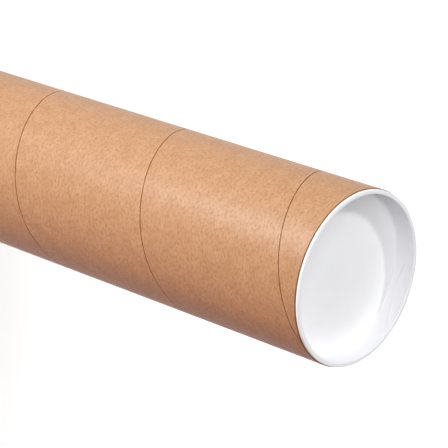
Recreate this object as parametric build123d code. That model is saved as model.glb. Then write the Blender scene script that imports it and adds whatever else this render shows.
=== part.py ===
"""Cardboard mailing tube with a recessed plastic plug pushed into each end.

Frame: millimetres, +Z up along the tube's axis. The tube stands on its lower plug, and the origin is
the centre of the ring on which that plug's flange stands.
"""
from build123d import *
import os

# ---- tube: one spirally wound paperboard wall ----
bore_diameter = 101.6
tube_wall = 2.03
tube_length = 609.6

# ---- plug: one thin moulding, used at both ends ----
plug_clearance = 0.05        # radial gap between the plug's skirt and the tube's bore
plug_wall = 1.1
flange_thickness = 1.4
flange_margin = 0.45         # how far the flange stops short of the tube's outside
flange_edge_radius = 0.5
skirt_depth = 13.2           # from the tube's end to the underside of the plug's floor
floor_thickness = 1.2
corner_radius = 1.6          # inside radius between the skirt and the floor

# ---- sizes that follow ----
bore_radius = bore_diameter / 2
tube_radius = bore_radius + tube_wall
skirt_radius = bore_radius - plug_clearance
recess_radius = skirt_radius - plug_wall
flange_radius = tube_radius - flange_margin
tube_bottom = flange_thickness
tube_top = tube_bottom + tube_length


def tube_solid():
    """The wound wall with both ends cut square."""
    with BuildPart() as tube:
        with BuildSketch(Plane.XY.offset(tube_bottom)):
            Circle(tube_radius)
            Circle(bore_radius, mode=Mode.SUBTRACT)
        extrude(amount=tube_length)
    return tube.part


def plug_solid():
    """A thin cup with a flange at its mouth. The flange's seat is at Z = 0 and the cup hangs below it."""
    floor_top = floor_thickness - skirt_depth
    rounded_corners = [
        ((recess_radius, floor_top), corner_radius),
        ((skirt_radius, -skirt_depth), corner_radius + plug_wall),
    ]
    with BuildPart() as plug:
        with BuildSketch(Plane.XZ) as section:
            with BuildLine():
                Polyline(
                    (0, -skirt_depth),
                    (skirt_radius, -skirt_depth),
                    (skirt_radius, 0),
                    (flange_radius, 0),
                    (flange_radius, flange_thickness),
                    (recess_radius, flange_thickness),
                    (recess_radius, floor_top),
                    (0, floor_top),
                    close=True,
                )
            make_face()
            fillet(section.vertices().group_by(Axis.Y)[-1], flange_edge_radius)
            for corner, radius in rounded_corners:
                fillet(section.vertices().sort_by_distance(corner)[0], radius)
        revolve(axis=Axis.Z)
    return plug.part


plug = plug_solid()
pieces = {
    "bottom_plug": plug.rotate(Axis.X, 180).move(Location((0, 0, tube_bottom))),
    "tube": tube_solid(),
    "top_plug": plug.moved(Location((0, 0, tube_top))),
}

os.makedirs("parts", exist_ok=True)
for node, solid in pieces.items():
    solid.label = node
    export_step(solid, f"parts/{node}.step")
    box = solid.bounding_box()
    print(f"{node}: {solid.volume / 1000:.1f} cm3, Z {box.min.Z:.2f} to {box.max.Z:.2f}")
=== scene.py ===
# %% [markdown]
# # A cardboard mailing tube with its two end plugs
#
# The object is a paperboard tube wound from glued strips of kraft paper, closed at each end by a recessed
# white plastic plug. Three things make it look real: the open seam that climbs the tube as a helix, the
# short fibres and cloudy tone of unbleached paper, and the soft, waxy white of the moulded plugs.
#
# The CAD model gives every size and place, and stays in the file as a fixed frame. Everything here is in
# metres, +Z up, and the tube stands on its lower plug.

# %% Load the frame
from math import atan2, cos, pi, radians, sin

import bmesh
import bpy
from mathutils import Matrix, Vector


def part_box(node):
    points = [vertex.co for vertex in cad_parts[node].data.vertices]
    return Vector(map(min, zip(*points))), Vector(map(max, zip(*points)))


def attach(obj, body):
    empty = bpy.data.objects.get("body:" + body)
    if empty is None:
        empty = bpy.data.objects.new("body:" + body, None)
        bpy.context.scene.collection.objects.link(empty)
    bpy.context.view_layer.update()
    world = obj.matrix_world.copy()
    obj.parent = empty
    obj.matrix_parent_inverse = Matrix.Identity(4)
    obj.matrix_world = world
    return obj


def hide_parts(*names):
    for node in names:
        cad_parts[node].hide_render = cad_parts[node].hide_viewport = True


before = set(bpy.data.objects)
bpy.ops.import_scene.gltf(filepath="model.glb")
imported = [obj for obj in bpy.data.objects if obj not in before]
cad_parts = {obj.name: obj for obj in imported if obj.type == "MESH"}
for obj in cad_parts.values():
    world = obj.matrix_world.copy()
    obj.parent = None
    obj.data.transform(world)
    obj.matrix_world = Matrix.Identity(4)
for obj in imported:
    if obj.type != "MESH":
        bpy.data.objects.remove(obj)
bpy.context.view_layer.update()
MM = 0.001

# %% [markdown]
# ## Sizes read from the frame
#
# The outside sizes come straight from the boxes of the CAD nodes. The tube's bore and the plug's skirt don't
# show in a box, so they are measured as the distance of the mesh points from the tube's axis.

# %% Measure the CAD nodes


def radii(node, low=-1.0, high=10.0):
    """Sorted distances from the Z axis of the node's points between two heights."""
    points = (v.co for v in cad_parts[node].data.vertices)
    return sorted(p.xy.length for p in points if low <= p.z <= high)


tube_low, tube_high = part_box("tube")
plug_low, plug_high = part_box("top_plug")
tube_radius = radii("tube")[-1]
bore_radius = radii("tube")[0]
tube_bottom, tube_top = tube_low.z, tube_high.z
flange_radius = radii("top_plug")[-1]
flange_top = plug_high.z
plug_bottom = plug_low.z
skirt_radius = radii("top_plug", plug_bottom, tube_top - 1 * MM)[-1]
print(f"tube {tube_radius / MM:.2f} mm radius, bore {bore_radius / MM:.2f}, ends at {tube_top / MM:.1f}")
print(f"plug flange {flange_radius / MM:.2f} mm radius, skirt {skirt_radius / MM:.2f}")

# %% [markdown]
# ## Camera
#
# The tube is seen from above its open end, so that the plug's recess and the side of the tube both show. A
# long lens keeps the sides of the tube nearly parallel. The camera is rolled over on its side, which makes
# the standing tube run across the picture with its top end towards the lower right.

# %% Set up the camera
mouth = Vector((0, 0, tube_top))
view_angle = radians(53.65)
view_distance = 1.3238
aim_below_mouth = 0.1062
aim_aside = -0.0049
camera_roll = radians(108.83)

camera_data = bpy.data.cameras.new("camera")
camera_data.lens = 186.9
camera_data.sensor_width = 36.0
camera = bpy.data.objects.new("camera", camera_data)
bpy.context.scene.collection.objects.link(camera)
camera.location = mouth + view_distance * Vector((0, -sin(view_angle), cos(view_angle)))
aim = mouth + Vector((aim_aside, 0, -aim_below_mouth))
forward = (aim - camera.location).normalized()
upright = forward.to_track_quat("-Z", "Y").to_matrix()
camera.rotation_mode = "QUATERNION"
camera.rotation_quaternion = (upright @ Matrix.Rotation(camera_roll, 3, "Z")).to_quaternion()
bpy.context.scene.camera = camera
print("camera", tuple(round(v, 3) for v in camera.location))

# %% [markdown]
# ## Studio
#
# White goods are shot on white: a wide pale floor, a pale surround, and large soft lights. Two lamps are
# smaller, and each has one job. The recess lamp looks down into the plug from behind the tube's shoulder and
# draws the crisp shadow of the rim on the plug's floor. The sheen lamp stands low in front, where the paper
# mirrors it toward the camera, and draws the pale streak along the tube. A warm fill on the far side keeps
# the paper there brown instead of grey, and a box over the floor behind burns the backdrop to white. The
# standard view transform keeps the paper's tan as it is.

# %% Floor, surround and lights


def linear(hex_colour):
    """An sRGB hex colour as the linear RGBA that shaders expect."""
    channels = [int(hex_colour[i : i + 2], 16) / 255 for i in (1, 3, 5)]
    return [c / 12.92 if c <= 0.04045 else ((c + 0.055) / 1.055) ** 2.4 for c in channels] + [1.0]


def add(tree, kind, inputs=None, **settings):
    """Adds a node. Settings are its properties; inputs maps a socket to a value, a socket or a formula."""
    node = tree.nodes.new(kind)
    for name, value in settings.items():
        setattr(node, name, value)
    for socket, value in (inputs or {}).items():
        value = worked_out(tree, value)
        if isinstance(value, bpy.types.NodeSocket):
            tree.links.new(value, node.inputs[socket])
        else:
            node.inputs[socket].default_value = value
    return node


def worked_out(tree, formula):
    """A formula such as ("ADD", a, ("SINE", b)) built as nodes; anything else comes back as it is."""
    if not (isinstance(formula, tuple) and isinstance(formula[0], str)):
        return formula
    operation, *terms = formula
    return add(tree, "ShaderNodeMath", dict(enumerate(terms)), operation=operation).outputs[0]


def new_material(name):
    """An empty material: its node tree and its Principled shader."""
    made = bpy.data.materials.new(name)
    made.use_nodes = True
    return made, made.node_tree, made.node_tree.nodes["Principled BSDF"]


def softbox(name, place, away, size, watts, tint="#FFFFFF"):
    """A square softbox at a place. It shines the opposite way from the direction away."""
    data = bpy.data.lights.new(name, "AREA")
    data.size = size
    data.energy = watts
    data.color = linear(tint)[:3]
    lamp = bpy.data.objects.new(name, data)
    bpy.context.scene.collection.objects.link(lamp)
    lamp.location = place
    lamp.rotation_euler = away.to_track_quat("Z", "Y").to_euler()


def flat_mesh(name, half_width):
    """A square of that half width on the ground."""
    mesh = bpy.data.meshes.new(name)
    corners = [(x * half_width, y * half_width, 0) for x, y in ((-1, -1), (1, -1), (1, 1), (-1, 1))]
    mesh.from_pydata(corners, [], [(0, 1, 2, 3)])
    made = bpy.data.objects.new(name, mesh)
    bpy.context.scene.collection.objects.link(made)
    return made


floor_half_width = 8.0
floor = flat_mesh("floor", floor_half_width)
floor_paint, _, floor_shader = new_material("matt white studio floor")
floor_shader.inputs["Base Color"].default_value = linear("#F7F7F7")
floor_shader.inputs["Roughness"].default_value = 0.9
floor.data.materials.append(floor_paint)

world = bpy.data.worlds.new("pale surround")
bpy.context.scene.world = world
world.use_nodes = True
world.node_tree.nodes["Background"].inputs["Color"].default_value = linear("#FFFFFF")
world.node_tree.nodes["Background"].inputs["Strength"].default_value = 0.08

# the lights that face the mouth: direction seen from it, distance, size in metres and power in watts
for name, toward, distance, size, watts, tint in (
    ("recess lamp", (-0.75, 0.17, 0.64), 3.0, 0.36, 33, "#FFFFFF"),
    ("sheen lamp", (-0.33, -0.81, -0.48), 0.95, 0.26, 3.3, "#FFFFFF"),
    ("front box", (-0.38, -0.76, 0.53), 2.0, 0.7, 11.5, "#FFFFFF"),
    ("high front box", (-0.08, -0.63, 0.77), 2.4, 0.9, 20, "#FFFFFF"),
    ("overhead box", (0.1, 0.25, 0.96), 5.0, 3.2, 42, "#FFFFFF"),
    ("warm fill", (0.94, -0.26, -0.22), 1.5, 0.5, 4.2, "#FF8058"),
):
    direction = Vector(toward).normalized()
    softbox(name, mouth + distance * direction, direction, size, watts, tint)
# a narrower spread keeps this low lamp's light off the floor right beside it
bpy.data.lights["sheen lamp"].spread = radians(120)
softbox("floor box", (0, 0.8, 0.45), Vector((0, 0, 1)), 0.7, 3.5)
print("lights:", [light.name for light in bpy.data.lights])
bpy.context.scene.view_settings.view_transform = "Standard"

# %% [markdown]
# ## Kraft paper
#
# The outer ply is unbleached kraft liner, pressed smooth by hot rollers. Its tan comes from the lignin that
# was left in the pulp. Close up it is never one colour: the pulp settles in clouds a few millimetres wide,
# and short fibres, darker and paler, lie mostly along the strip. The paper is wound, so the pattern is drawn
# on a UV map that runs along and across the strip, in metres, and turns with the winding.

# %% Kraft paper of the outer ply
ply_map = "along and across the ply"
seam_mask = "seam"


def kraft_paper(name, base, pale, dark, seam_shade_colour, roughness):
    """Wound kraft paper: clouds of pulp, fibres along the strip, and painted shade in the open seam's
    groove.
    """
    made, tree, shader = new_material(name)
    ply = add(tree, "ShaderNodeUVMap", uv_map=ply_map).outputs["UV"]
    cloud_width, fleck_width = 9 * MM, 2.0 * MM
    # real fibres are about 0.03 mm wide; they are drawn twenty times as coarse to show at all
    fibre_length, fibre_width = 4.5 * MM, 0.6 * MM
    clouds = add(tree, "ShaderNodeTexNoise", {"Vector": ply, "Scale": 1 / cloud_width, "Detail": 4.0})
    flecks = add(tree, "ShaderNodeTexNoise", {"Vector": ply, "Scale": 1 / fleck_width, "Detail": 3.0})
    stretch = {"Vector": ply, "Scale": (1 / fibre_length, 1 / fibre_width, 1.0)}
    stretched = add(tree, "ShaderNodeMapping", stretch).outputs["Vector"]
    fibres = add(tree, "ShaderNodeTexNoise", {"Vector": stretched, "Scale": 1.0, "Detail": 2.0})

    # each layer: its texture, the values where it starts and is full, its weight and its colour
    layers = (
        (clouds, 0.35, 0.65, 0.9, pale),
        (flecks, 0.45, 0.7, 0.7, dark),
        (fibres, 0.5, 0.75, 0.6, dark),
        (fibres, 0.45, 0.22, 0.55, pale),
    )
    seam = add(tree, "ShaderNodeAttribute", attribute_name=seam_mask).outputs["Fac"]
    colour = linear(base)
    for texture, start, full, weight, tone in layers:
        limits = {"From Min": start, "From Max": full, "To Max": weight}
        cover = add(tree, "ShaderNodeMapRange", {"Value": texture.outputs[0], **limits}).outputs["Result"]
        laid = add(tree, "ShaderNodeMix", {0: cover, 6: colour, 7: linear(tone)}, data_type="RGBA")
        colour = laid.outputs[2]
    # the seam's groove is painted a darker colour: painted shade for the shade that falls in the narrow
    # groove
    shaded = add(tree, "ShaderNodeMix", {0: seam, 6: colour, 7: linear(seam_shade_colour)}, data_type="RGBA")
    tree.links.new(shaded.outputs[2], shader.inputs["Base Color"])
    swing = 0.07
    limits = {"To Min": roughness - swing, "To Max": roughness + swing}
    rough = add(tree, "ShaderNodeMapRange", {"Value": flecks.outputs[0], **limits})
    tree.links.new(rough.outputs["Result"], shader.inputs["Roughness"])
    tooth = ("ADD", fibres.outputs[0], flecks.outputs[0])
    bump = add(tree, "ShaderNodeBump", {"Height": tooth, "Strength": 0.35, "Distance": 0.06 * MM})
    tree.links.new(bump.outputs["Normal"], shader.inputs["Normal"])
    shader.inputs["Specular IOR Level"].default_value = 0.3
    return made


# the fourth colour of each paper is painted shade, laid in its seam's groove
outer_kraft = kraft_paper("kraft liner paper", "#AC805B", "#B68C68", "#976B47", "#86491F", 0.44)
inner_kraft = kraft_paper("unglazed kraft core paper", "#A78360", "#B0906E", "#8F6E4E", "#5C3E26", 0.75)
print("paper:", outer_kraft.name, "and", inner_kraft.name)

# %% [markdown]
# ## Cut edge of the board
#
# A saw cuts the wound tube to length and leaves all plies showing as thin rings, with a dull, slightly fuzzy
# face that is darker than the rolled surface. The rings are drawn from the distance to the tube's axis.

# %% Sawn paperboard
ply_thickness = 0.41 * MM


def sawn_board():
    """The tube's cut face: rings of plies and glue lines."""
    made, tree, shader = new_material("sawn spiral paperboard")
    place = add(tree, "ShaderNodeTexCoord").outputs["Object"]
    flat = add(tree, "ShaderNodeVectorMath", {0: place, 1: (1, 1, 0)}, operation="MULTIPLY").outputs[0]
    away = add(tree, "ShaderNodeVectorMath", {0: flat}, operation="LENGTH").outputs["Value"]
    fuzz_width = 0.5 * MM
    fuzz = add(tree, "ShaderNodeTexNoise", {"Vector": place, "Scale": 1 / fuzz_width, "Detail": 3.0})
    place_in_ply = ("FRACT", ("MULTIPLY", away, 1 / ply_thickness))
    rings = worked_out(tree, ("MULTIPLY", place_in_ply, fuzz.outputs[0]))
    ramp = add(tree, "ShaderNodeValToRGB", {"Fac": rings})
    ramp.color_ramp.elements[0].color = linear("#5E3F28")
    ramp.color_ramp.elements[1].color = linear("#9A7350")
    ramp.color_ramp.elements[1].position = 0.5
    tree.links.new(ramp.outputs["Color"], shader.inputs["Base Color"])
    shader.inputs["Roughness"].default_value = 0.9
    bump = add(tree, "ShaderNodeBump", {"Height": rings, "Strength": 0.5, "Distance": 0.1 * MM})
    tree.links.new(bump.outputs["Normal"], shader.inputs["Normal"])
    return made


cut_board = sawn_board()

# %% [markdown]
# ## Low-density polyethylene
#
# The plugs are injection moulded in white low-density polyethylene. It is waxy: light goes a little way in
# and comes out again, which softens every shadow inside the recess, and its skin has a dull satin gloss. The
# faint ripple of the mould's polish is the only pattern, with a fine grain in its gloss.

# %% Moulded polyethylene


def moulded_polyethylene():
    """White satin plastic with a slight glow and a faint ripple."""
    made, tree, shader = new_material("moulded low-density polyethylene")
    place = add(tree, "ShaderNodeTexCoord").outputs["Object"]
    ripple_width, grain_width = 14 * MM, 0.6 * MM
    ripple = add(tree, "ShaderNodeTexNoise", {"Vector": place, "Scale": 1 / ripple_width, "Detail": 2.0})
    grain = add(tree, "ShaderNodeTexNoise", {"Vector": place, "Scale": 1 / grain_width, "Detail": 2.0})
    ramp = add(tree, "ShaderNodeValToRGB", {"Fac": ripple.outputs[0]})
    ramp.color_ramp.elements[0].color = linear("#F4F4F7")
    ramp.color_ramp.elements[1].color = linear("#F8F8FB")
    tree.links.new(ramp.outputs["Color"], shader.inputs["Base Color"])
    rough = add(tree, "ShaderNodeMapRange", {"Value": grain.outputs[0], "To Min": 0.36, "To Max": 0.48})
    tree.links.new(rough.outputs["Result"], shader.inputs["Roughness"])
    shader.inputs["IOR"].default_value = 1.51
    shader.inputs["Subsurface Weight"].default_value = 0.15
    shader.inputs["Subsurface Radius"].default_value = (1.0, 1.0, 1.0)
    shader.inputs["Subsurface Scale"].default_value = 1.5 * MM
    bump = add(tree, "ShaderNodeBump", {"Height": grain.outputs[0], "Strength": 0.1, "Distance": 0.03 * MM})
    tree.links.new(bump.outputs["Normal"], shader.inputs["Normal"])
    return made


white_plastic = moulded_polyethylene()

# %% [markdown]
# ## The wound tube
#
# A mandrel turns, strips of paper feed on at an angle, and each strip's edges nearly meet: the gap that is
# left is the seam. On the surface it is a right-handed helix, one turn for each ply width of height.
#
# A groove that thin could be a boolean cut, but that leaves ragged faces. Here the skin is a plain grid
# instead, bent round the axis by Geometry Nodes: its columns are straight lines up the tube, its rows climb
# with the helix, and a few rows crowd together at the seam, where they step down into the groove. Rows that
# run past an end are held at the end, and merging their points cleans them up.

# %% Sizes of the winding
seam_pitch = 109.2 * MM
outer_seam_height = tube_top + 9.3 * MM
inner_seam_height = tube_top - 62.0 * MM
groove_width = 0.75 * MM
groove_depth = 0.32 * MM
# the share of the groove's width that is flat floor; the rest is its two walls
flat_share = 0.7
edge_bevel = 0.55 * MM
columns = 288
rows_in_turn = 12
last_step = rows_in_turn / 2

# %% Node group: how deep the groove is at a place


def group(name, sockets):
    """A new geometry node group with its inputs and outputs, each a (name, direction, type)."""
    tree = bpy.data.node_groups.new(name, "GeometryNodeTree")
    for label, direction, kind in sockets:
        tree.interface.new_socket(label, in_out=direction, socket_type=f"NodeSocket{kind}")
    return tree, tree.nodes.new("NodeGroupInput").outputs, tree.nodes.new("NodeGroupOutput").inputs


groove, given, result = group(
    "groove at a place",
    [(n, "INPUT", "Float") for n in ("Angle", "Height", "Seam Height", "Pitch", "Width")]
    + [("Share", "OUTPUT", "Float")],
)
climb = ("MULTIPLY", ("DIVIDE", given["Angle"], 2 * pi), given["Pitch"])
above = ("SUBTRACT", ("SUBTRACT", given["Height"], given["Seam Height"]), climb)
half_pitch = worked_out(groove, ("MULTIPLY", given["Pitch"], 0.5))
nearest = ("WRAP", above, half_pitch, ("MULTIPLY", half_pitch, -1.0))
share_of_groove = add(
    groove,
    "ShaderNodeMapRange",
    {
        "Value": ("ABSOLUTE", nearest),
        "From Min": ("MULTIPLY", given["Width"], flat_share / 2),
        "From Max": ("MULTIPLY", given["Width"], 0.5),
        "To Min": 1.0,
        "To Max": 0.0,
    },
)
groove.links.new(share_of_groove.outputs["Result"], result["Share"])


def groove_share(tree, angle_there, height_there, seam_height, pitch, width):
    """The groove group used in a tree: 1 on the groove's floor, 0 on plain paper."""
    node = add(tree, "GeometryNodeGroup", node_tree=groove)
    sources = (angle_there, height_there, seam_height, pitch, width)
    for label, source in zip(("Angle", "Height", "Seam Height", "Pitch", "Width"), sources):
        tree.links.new(source, node.inputs[label])
    return node.outputs["Share"]

# %% [markdown]
# ### The skin
#
# One group makes either surface of the wall, because the inner ply has a seam of its own. A row's number
# gives its turn and its place within the turn: 0 is the middle of the seam, 1 the foot of the groove's wall,
# 2 its shoulder, and the rest share out the plain paper up to the next seam.

# %% Node group: one wound surface
skin, given, result = group(
    "wound skin",
    [(n, "INPUT", "Float") for n in ("Radius", "Bottom", "Top", "Pitch", "Seam Height", "Width", "Depth")]
    + [("Columns", "INPUT", "Int"), ("Paper", "INPUT", "Material"), ("Mesh", "OUTPUT", "Geometry")],
)
turns_up = ("CEIL", ("DIVIDE", ("SUBTRACT", given["Top"], given["Bottom"]), given["Pitch"]))
# more turns than the height needs, so that both ends are covered wherever the seam lies
spare_turns = 4.0
last_row = worked_out(skin, ("MULTIPLY", ("ADD", turns_up, spare_turns), float(rows_in_turn)))
grid = add(
    skin,
    "GeometryNodeMeshGrid",
    {
        "Size X": 2 * pi,
        "Size Y": last_row,
        "Vertices X": ("ADD", given["Columns"], 1.0),
        "Vertices Y": ("ADD", last_row, 1.0),
    },
)
place = add(skin, "ShaderNodeSeparateXYZ", {0: add(skin, "GeometryNodeInputPosition").outputs[0]})
angle = place.outputs["X"]
row = worked_out(skin, ("ROUND", ("ADD", place.outputs["Y"], ("MULTIPLY", last_row, 0.5))))
turn = worked_out(skin, ("ROUND", ("DIVIDE", row, float(rows_in_turn))))
within = worked_out(skin, ("SUBTRACT", row, ("MULTIPLY", turn, float(rows_in_turn))))
steps = worked_out(skin, ("ABSOLUTE", within))
half_width = worked_out(skin, ("MULTIPLY", given["Width"], 0.5))
plain_span = ("SUBTRACT", ("MULTIPLY", given["Pitch"], 0.5), half_width)
# the height gained on the way from the seam's middle: to the foot, to the shoulder, then over plain paper
gains = []
for first, last, gain in (
    (0.0, 1.0, ("MULTIPLY", half_width, flat_share)),
    (1.0, 2.0, ("MULTIPLY", half_width, 1 - flat_share)),
    (2.0, last_step, plain_span),
):
    limits = {"From Min": first, "From Max": last, "To Max": gain}
    gains.append(add(skin, "ShaderNodeMapRange", {"Value": steps, **limits}).outputs["Result"])
beside = ("MULTIPLY", ("ADD", ("ADD", gains[0], gains[1]), gains[2]), ("SIGN", within))
turns_below = ("CEIL", ("DIVIDE", ("SUBTRACT", given["Seam Height"], given["Bottom"]), given["Pitch"]))
turn_from_seam = ("SUBTRACT", turn, ("ADD", turns_below, 1.0))
helix = ("ADD", turn_from_seam, ("DIVIDE", angle, 2 * pi))
seam_there = ("ADD", given["Seam Height"], ("MULTIPLY", helix, given["Pitch"]))
raw_height = worked_out(skin, ("ADD", seam_there, beside))
limits = {"Value": raw_height, "Min": given["Bottom"], "Max": given["Top"]}
height = add(skin, "ShaderNodeClamp", limits).outputs[0]
share = groove_share(skin, angle, height, given["Seam Height"], given["Pitch"], given["Width"])
radius = worked_out(skin, ("SUBTRACT", given["Radius"], ("MULTIPLY", share, given["Depth"])))
bent = add(
    skin,
    "ShaderNodeCombineXYZ",
    {
        "X": ("MULTIPLY", radius, ("COSINE", angle)),
        "Y": ("MULTIPLY", radius, ("SINE", angle)),
        "Z": height,
    },
)
# the map along and across the strip: the unrolled surface, turned by the helix's slope
around = worked_out(skin, ("MULTIPLY", angle, given["Radius"]))
slope = worked_out(skin, ("ARCTAN2", given["Pitch"], ("MULTIPLY", given["Radius"], 2 * pi)))
cosine, sine = (worked_out(skin, (operation, slope)) for operation in ("COSINE", "SINE"))
along = ("ADD", ("MULTIPLY", around, cosine), ("MULTIPLY", raw_height, sine))
across = ("SUBTRACT", ("MULTIPLY", raw_height, cosine), ("MULTIPLY", around, sine))
strip_place = add(skin, "ShaderNodeCombineXYZ", {"X": along, "Y": across})
mapped = add(
    skin,
    "GeometryNodeStoreNamedAttribute",
    {"Geometry": grid.outputs["Mesh"], "Name": ply_map, "Value": strip_place.outputs[0]},
    data_type="FLOAT2",
    domain="CORNER",
)
# the groove's share is stored as the mask where the paper paints shade into the seam
masked = add(
    skin,
    "GeometryNodeStoreNamedAttribute",
    {"Geometry": mapped.outputs[0], "Name": seam_mask, "Value": share},
    data_type="FLOAT",
    domain="POINT",
)
moved = {"Geometry": masked.outputs[0], "Position": bent.outputs[0]}
wrapped = add(skin, "GeometryNodeSetPosition", moved).outputs[0]
papered = add(skin, "GeometryNodeSetMaterial", {"Geometry": wrapped, "Material": given["Paper"]})
skin.links.new(papered.outputs[0], result["Mesh"])
print("skin group has", len(skin.nodes), "nodes")

# %% [markdown]
# ### The cut ends
#
# The saw leaves a flat face across the wall, and rubs the outer edge off to a narrow bevel. Both are bands
# between two circles, A and B, so one group makes them all. Each circle reads the same groove group, so it
# follows the notch that the seam leaves in the wall, and all the surfaces close without a gap. Seen along
# the surface from outside, a band's columns run from A up or in to B, which keeps its face outwards.

# %% Node group: a band between two circles
band, given, result = group(
    "band between circles",
    [(f"{what} {end}", "INPUT", "Float") for end in "AB" for what in ("Radius", "Height", "Seam", "Depth")]
    + [("Pitch", "INPUT", "Float"), ("Width", "INPUT", "Float"), ("Columns", "INPUT", "Int")]
    + [("Board", "INPUT", "Material"), ("Mesh", "OUTPUT", "Geometry")],
)
grid = add(
    band,
    "GeometryNodeMeshGrid",
    {"Size X": 2 * pi, "Size Y": 1.0, "Vertices X": ("ADD", given["Columns"], 1.0), "Vertices Y": 2},
)
place = add(band, "ShaderNodeSeparateXYZ", {0: add(band, "GeometryNodeInputPosition").outputs[0]})
angle = place.outputs["X"]


def from_a_to_b(a, b):
    """A value that runs from circle A's to circle B's."""
    places = {"Value": place.outputs["Y"], "From Min": -0.5, "From Max": 0.5}
    return add(band, "ShaderNodeMapRange", {**places, "To Min": a, "To Max": b}).outputs["Result"]


circle = {}
for end in "AB":
    share = groove_share(
        band, angle, given[f"Height {end}"], given[f"Seam {end}"], given["Pitch"], given["Width"]
    )
    notch = ("MULTIPLY", share, given[f"Depth {end}"])
    circle[end] = ("SUBTRACT", given[f"Radius {end}"], notch)
radius = from_a_to_b(circle["A"], circle["B"])
bent = add(
    band,
    "ShaderNodeCombineXYZ",
    {
        "X": ("MULTIPLY", radius, ("COSINE", angle)),
        "Y": ("MULTIPLY", radius, ("SINE", angle)),
        "Z": from_a_to_b(given["Height A"], given["Height B"]),
    },
)
moved = {"Geometry": grid.outputs["Mesh"], "Position": bent.outputs[0]}
wrapped = add(band, "GeometryNodeSetPosition", moved).outputs[0]
sawn = add(band, "GeometryNodeSetMaterial", {"Geometry": wrapped, "Material": given["Board"]})
band.links.new(sawn.outputs[0], result["Mesh"])

# %% Node tree: the whole tube
heights = ("Bottom", "Top", "Outer Seam", "Inner Seam")
sizes = ("Outer Radius", "Bore Radius", *heights, "Bevel", "Pitch", "Width", "Depth")
winding, given, result = group(
    "wound paperboard tube",
    [("Geometry", "INPUT", "Geometry")]
    + [(label, "INPUT", "Float") for label in sizes]
    + [("Columns", "INPUT", "Int"), ("Geometry", "OUTPUT", "Geometry")],
)


def wall_part(kind, sources, paper_input, paper):
    """One copy of a group in the tube's tree, with its inputs linked and its material set."""
    node = add(winding, "GeometryNodeGroup", node_tree=kind)
    for label in ("Pitch", "Width", "Columns"):
        winding.links.new(given[label], node.inputs[label])
    for label, source in sources.items():
        winding.links.new(source, node.inputs[label])
    node.inputs[paper_input].default_value = paper
    return node.outputs["Mesh"]


bevel_top = worked_out(winding, ("SUBTRACT", given["Top"], given["Bevel"]))
bevel_bottom = worked_out(winding, ("ADD", given["Bottom"], given["Bevel"]))
bevel_radius = worked_out(winding, ("SUBTRACT", given["Outer Radius"], given["Bevel"]))
outwards = worked_out(winding, ("MULTIPLY", given["Depth"], -1.0))
outer_skin = wall_part(
    skin,
    {
        "Radius": given["Outer Radius"],
        "Bottom": bevel_bottom,
        "Top": bevel_top,
        "Seam Height": given["Outer Seam"],
        "Depth": given["Depth"],
    },
    "Paper",
    outer_kraft,
)
inner_skin = wall_part(
    skin,
    {
        "Radius": given["Bore Radius"],
        "Bottom": given["Bottom"],
        "Top": given["Top"],
        "Seam Height": given["Inner Seam"],
        "Depth": outwards,
    },
    "Paper",
    inner_kraft,
)
# each circle of the ends: its radius, height, seam and the groove's depth
circles = {
    "side below bevel": (given["Outer Radius"], bevel_top, given["Outer Seam"], given["Depth"]),
    "top outside": (bevel_radius, given["Top"], given["Outer Seam"], given["Depth"]),
    "top inside": (given["Bore Radius"], given["Top"], given["Inner Seam"], outwards),
    "bottom inside": (given["Bore Radius"], given["Bottom"], given["Inner Seam"], outwards),
    "bottom outside": (bevel_radius, given["Bottom"], given["Outer Seam"], given["Depth"]),
    "side above bevel": (given["Outer Radius"], bevel_bottom, given["Outer Seam"], given["Depth"]),
}
joined = add(winding, "GeometryNodeJoinGeometry")
names = list(circles)
# the numbers of the circles that a band joins; the inner skin itself joins circle 2 to circle 3
for start, stop in ((0, 1), (1, 2), (3, 4), (4, 5)):
    ends = {}
    for end, label in (("A", names[start]), ("B", names[stop])):
        for what, source in zip(("Radius", "Height", "Seam", "Depth"), circles[label]):
            ends[f"{what} {end}"] = source
    winding.links.new(wall_part(band, ends, "Board", cut_board), joined.inputs[0])
inner_faces = add(winding, "GeometryNodeFlipFaces", {"Mesh": inner_skin}).outputs[0]
winding.links.new(outer_skin, joined.inputs[0])
winding.links.new(inner_faces, joined.inputs[0])
weld_gap = 0.01 * MM
smooth_up_to = radians(30)
welded = add(winding, "GeometryNodeMergeByDistance", {"Geometry": joined.outputs[0], "Distance": weld_gap})
fold = add(winding, "GeometryNodeInputMeshEdgeAngle").outputs["Unsigned Angle"]
gentle = add(winding, "FunctionNodeCompare", {0: fold, 1: smooth_up_to}, operation="LESS_THAN").outputs[0]
smooth = add(
    winding,
    "GeometryNodeSetShadeSmooth",
    {"Geometry": welded.outputs[0], "Shade Smooth": gentle},
    domain="EDGE",
)
real = add(winding, "GeometryNodeRealizeInstances", {0: smooth.outputs[0]})
winding.links.new(real.outputs[0], result["Geometry"])

# %% Wind the tube


def drop_unused_slots(mesh):
    """Takes out the empty material slots that joined parts leave, and renumbers the faces."""
    kept = [index for index, paint in enumerate(mesh.materials) if paint is not None]
    paints = [mesh.materials[index] for index in kept]
    numbers = [kept.index(face.material_index) for face in mesh.polygons]
    mesh.materials.clear()
    for paint in paints:
        mesh.materials.append(paint)
    mesh.polygons.foreach_set("material_index", numbers)


def made_by_nodes(name, tree, values):
    """A plain mesh object made by a node tree with these input values."""
    holder = bpy.data.objects.new(name, bpy.data.meshes.new(name))
    bpy.context.scene.collection.objects.link(holder)
    modifier = holder.modifiers.new("nodes", "NODES")
    modifier.node_group = tree
    for item in tree.interface.items_tree:
        if item.in_out == "INPUT" and item.name in values:
            modifier[item.identifier] = values[item.name]
    evaluated = holder.evaluated_get(bpy.context.evaluated_depsgraph_get())
    mesh = bpy.data.meshes.new_from_object(evaluated)
    holder.modifiers.remove(modifier)
    drop_unused_slots(mesh)
    holder.data = mesh
    mesh.name = name
    return holder


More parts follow.
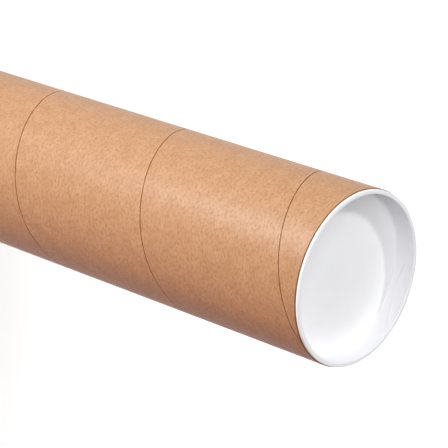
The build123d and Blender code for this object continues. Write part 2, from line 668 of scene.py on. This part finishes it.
tube = made_by_nodes(
    "wound_tube",
    winding,
    {
        "Outer Radius": tube_radius,
        "Bore Radius": bore_radius,
        "Bottom": tube_bottom,
        "Top": tube_top,
        "Bevel": edge_bevel,
        "Pitch": seam_pitch,
        "Outer Seam": outer_seam_height,
        "Inner Seam": inner_seam_height,
        "Width": groove_width,
        "Depth": groove_depth,
        "Columns": columns,
    },
)
print("tube:", len(tube.data.vertices), "points,", len(tube.data.polygons), "faces")
print("papers:", tube.data.materials.keys())

# %% [markdown]
# ## The plugs
#
# A plug is a body of revolution, so it is turned from its section: a thin cup, with a flange at its mouth
# that stops on the tube's end. The section is walked once round, corner by corner, and nearly every corner
# is an arc. Extra rings on the long flat stretches keep the smooth shading flat beside the arcs.

# %% Section of the plug
plug_wall = 1.1 * MM
floor_thickness = 1.2 * MM
recess_radius = skirt_radius - plug_wall
lip_radius = 0.5 * MM
corner_radius = 1.6 * MM
seat_edge_radius = 0.3 * MM
# rings on the recess's floor, its wall, the skirt and the underside
floor_rings, wall_rings, skirt_rings, underside_rings = 11, 40, 16, 5


def arc(centre, radius, start, stop, steps=6):
    """Points of an arc in the section, with angles in degrees."""
    turns = [radians(start + (stop - start) * i / steps) for i in range(steps + 1)]
    return [(centre[0] + radius * cos(t), centre[1] + radius * sin(t)) for t in turns]


def run(start, stop, count):
    """Evenly spaced points between two points of the section, without either end."""
    shares = [i / (count + 1) for i in range(1, count + 1)]
    return [(start[0] + (stop[0] - start[0]) * s, start[1] + (stop[1] - start[1]) * s) for s in shares]


def plug_section():
    """The closed section, from the middle of the recess's floor round to the middle of the underside."""
    floor_top = plug_bottom + floor_thickness
    outer_corner = corner_radius + plug_wall
    # how far from an arc's end the flat stretch beside it gets its first ring
    bend = 0.4 * MM
    inner_arc = arc((recess_radius - corner_radius, floor_top + corner_radius), corner_radius, -90, 0, 8)
    lip_in = arc((recess_radius + lip_radius, flange_top - lip_radius), lip_radius, 180, 90)
    lip_out = arc((flange_radius - lip_radius, flange_top - lip_radius), lip_radius, 90, 0)
    seat = arc((flange_radius - seat_edge_radius, tube_top + seat_edge_radius), seat_edge_radius, 0, -90, 3)
    outer_arc = arc((skirt_radius - outer_corner, plug_bottom + outer_corner), outer_corner, 0, -90, 8)
    floor_edge = (recess_radius - corner_radius - bend, floor_top)
    under_edge = (skirt_radius - outer_corner - bend, plug_bottom)
    wall_low, wall_high = (recess_radius, inner_arc[-1][1] + bend), (recess_radius, lip_in[0][1] - bend)
    skirt_high, skirt_low = (skirt_radius, tube_top - bend), (skirt_radius, outer_arc[0][1] + bend)
    return (
        [(0.0, floor_top)]
        + run((0.0, floor_top), floor_edge, floor_rings)
        + [floor_edge]
        + inner_arc
        + [wall_low]
        + run(wall_low, wall_high, wall_rings)
        + [wall_high]
        + lip_in
        + lip_out
        + seat
        + [(skirt_radius, tube_top), skirt_high]
        + run(skirt_high, skirt_low, skirt_rings)
        + [skirt_low]
        + outer_arc
        + [under_edge]
        + run(under_edge, (0.0, plug_bottom), underside_rings)
        + [(0.0, plug_bottom)]
    )


def turned(name, section, steps):
    """The section spun round the Z axis into a closed mesh."""
    mesh = bmesh.new()
    points = [mesh.verts.new((r, 0, z)) for r, z in section]
    outline = [mesh.edges.new(pair) for pair in zip(points, points[1:])]
    bmesh.ops.spin(
        mesh,
        geom=points + outline,
        cent=(0, 0, 0),
        axis=(0, 0, 1),
        angle=2 * pi,
        steps=steps,
        use_duplicate=False,
    )
    same_point = 0.002 * MM
    bmesh.ops.remove_doubles(mesh, verts=mesh.verts, dist=same_point)
    bmesh.ops.recalc_face_normals(mesh, faces=mesh.faces)
    data = bpy.data.meshes.new(name)
    mesh.to_mesh(data)
    mesh.free()
    made = bpy.data.objects.new(name, data)
    bpy.context.scene.collection.objects.link(made)
    return made


def finish_plug(plug):
    """Smooth shading with crisp edges, and the plastic."""
    sharp_from = radians(35)
    plug.data.materials.append(white_plastic)
    plug.data.shade_smooth()
    plug.data.set_sharp_from_angle(angle=sharp_from)


# the top plug is seen close up, so it gets more steps round the axis than the lower one
top_steps, bottom_steps = 360, 192
section = plug_section()
top_plug = turned("top_end_plug", section, top_steps)
print("plug:", len(section), "points in its section,", len(top_plug.data.polygons), "faces")

# %% [markdown]
# ### A dent under the lip
#
# Thin polyethylene takes a set. Where a thumb has pulled the plug, the wall below the lip leans inward and
# ends in a soft fold, shaped like a smile. It is only in the top plug, and only in the wall's inner surface,
# so each point there is moved toward the axis by a rule: the swell grows from the lip down to the fold and
# dies away over the fold's width, and the fold itself runs up to the lip on either side.

# %% Dent the top plug's wall
dent_middle = radians(92)
dent_half_angle = radians(32)
dent_reach = 8.7 * MM
dent_swell = 1.2 * MM
fold_width = 1.0 * MM
dented = 0
for point in top_plug.data.vertices:
    away = point.co.xy.length
    turn = (atan2(point.co.y, point.co.x) - dent_middle + pi) % (2 * pi) - pi
    depth = flange_top - point.co.z
    side = 1 - (turn / dent_half_angle) ** 2
    if side <= 0 or abs(away - recess_radius) > 0.02 * MM:
        continue
    fold_depth = dent_reach * side
    swell = min(depth / max(fold_depth, lip_radius), 1.0)
    past = min(max((depth - fold_depth) / fold_width, 0.0), 1.0)
    inward = dent_swell * side * swell**2 * (1 - past * past * (3 - 2 * past))
    point.co.xy *= (away - inward) / away
    dented += inward > 0
print("dented points:", dented)

# %% [markdown]
# ### The lower plug
#
# The other end takes the same moulding, turned over. A half turn about the X axis swaps up and down, and a
# lift by the heights of the tube's two ends together puts the flange on the lower end. It has no dent.

# %% Turn the same section again for the lower end
bottom_plug = turned("bottom_end_plug", section, bottom_steps)
lift = tube_bottom + tube_top
bottom_plug.data.transform(Matrix.Translation((0, 0, lift)) @ Matrix.Rotation(pi, 4, "X"))

for plug in (top_plug, bottom_plug):
    finish_plug(plug)

# %% [markdown]
# ## Put the pieces on their bodies
#
# Each piece stands for its CAD node and rides on that node's body; the record's material slot is listed
# beside it.

# %% Ride and replace
for piece, node, body, slot in (
    (tube, "tube", "tube", "tube_board"),
    (top_plug, "top_plug", "top_plug", "plug_plastic"),
    (bottom_plug, "bottom_plug", "bottom_plug", "plug_plastic"),
):
    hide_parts(node)
    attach(piece, body)
    print(piece.name, "rides on", body)
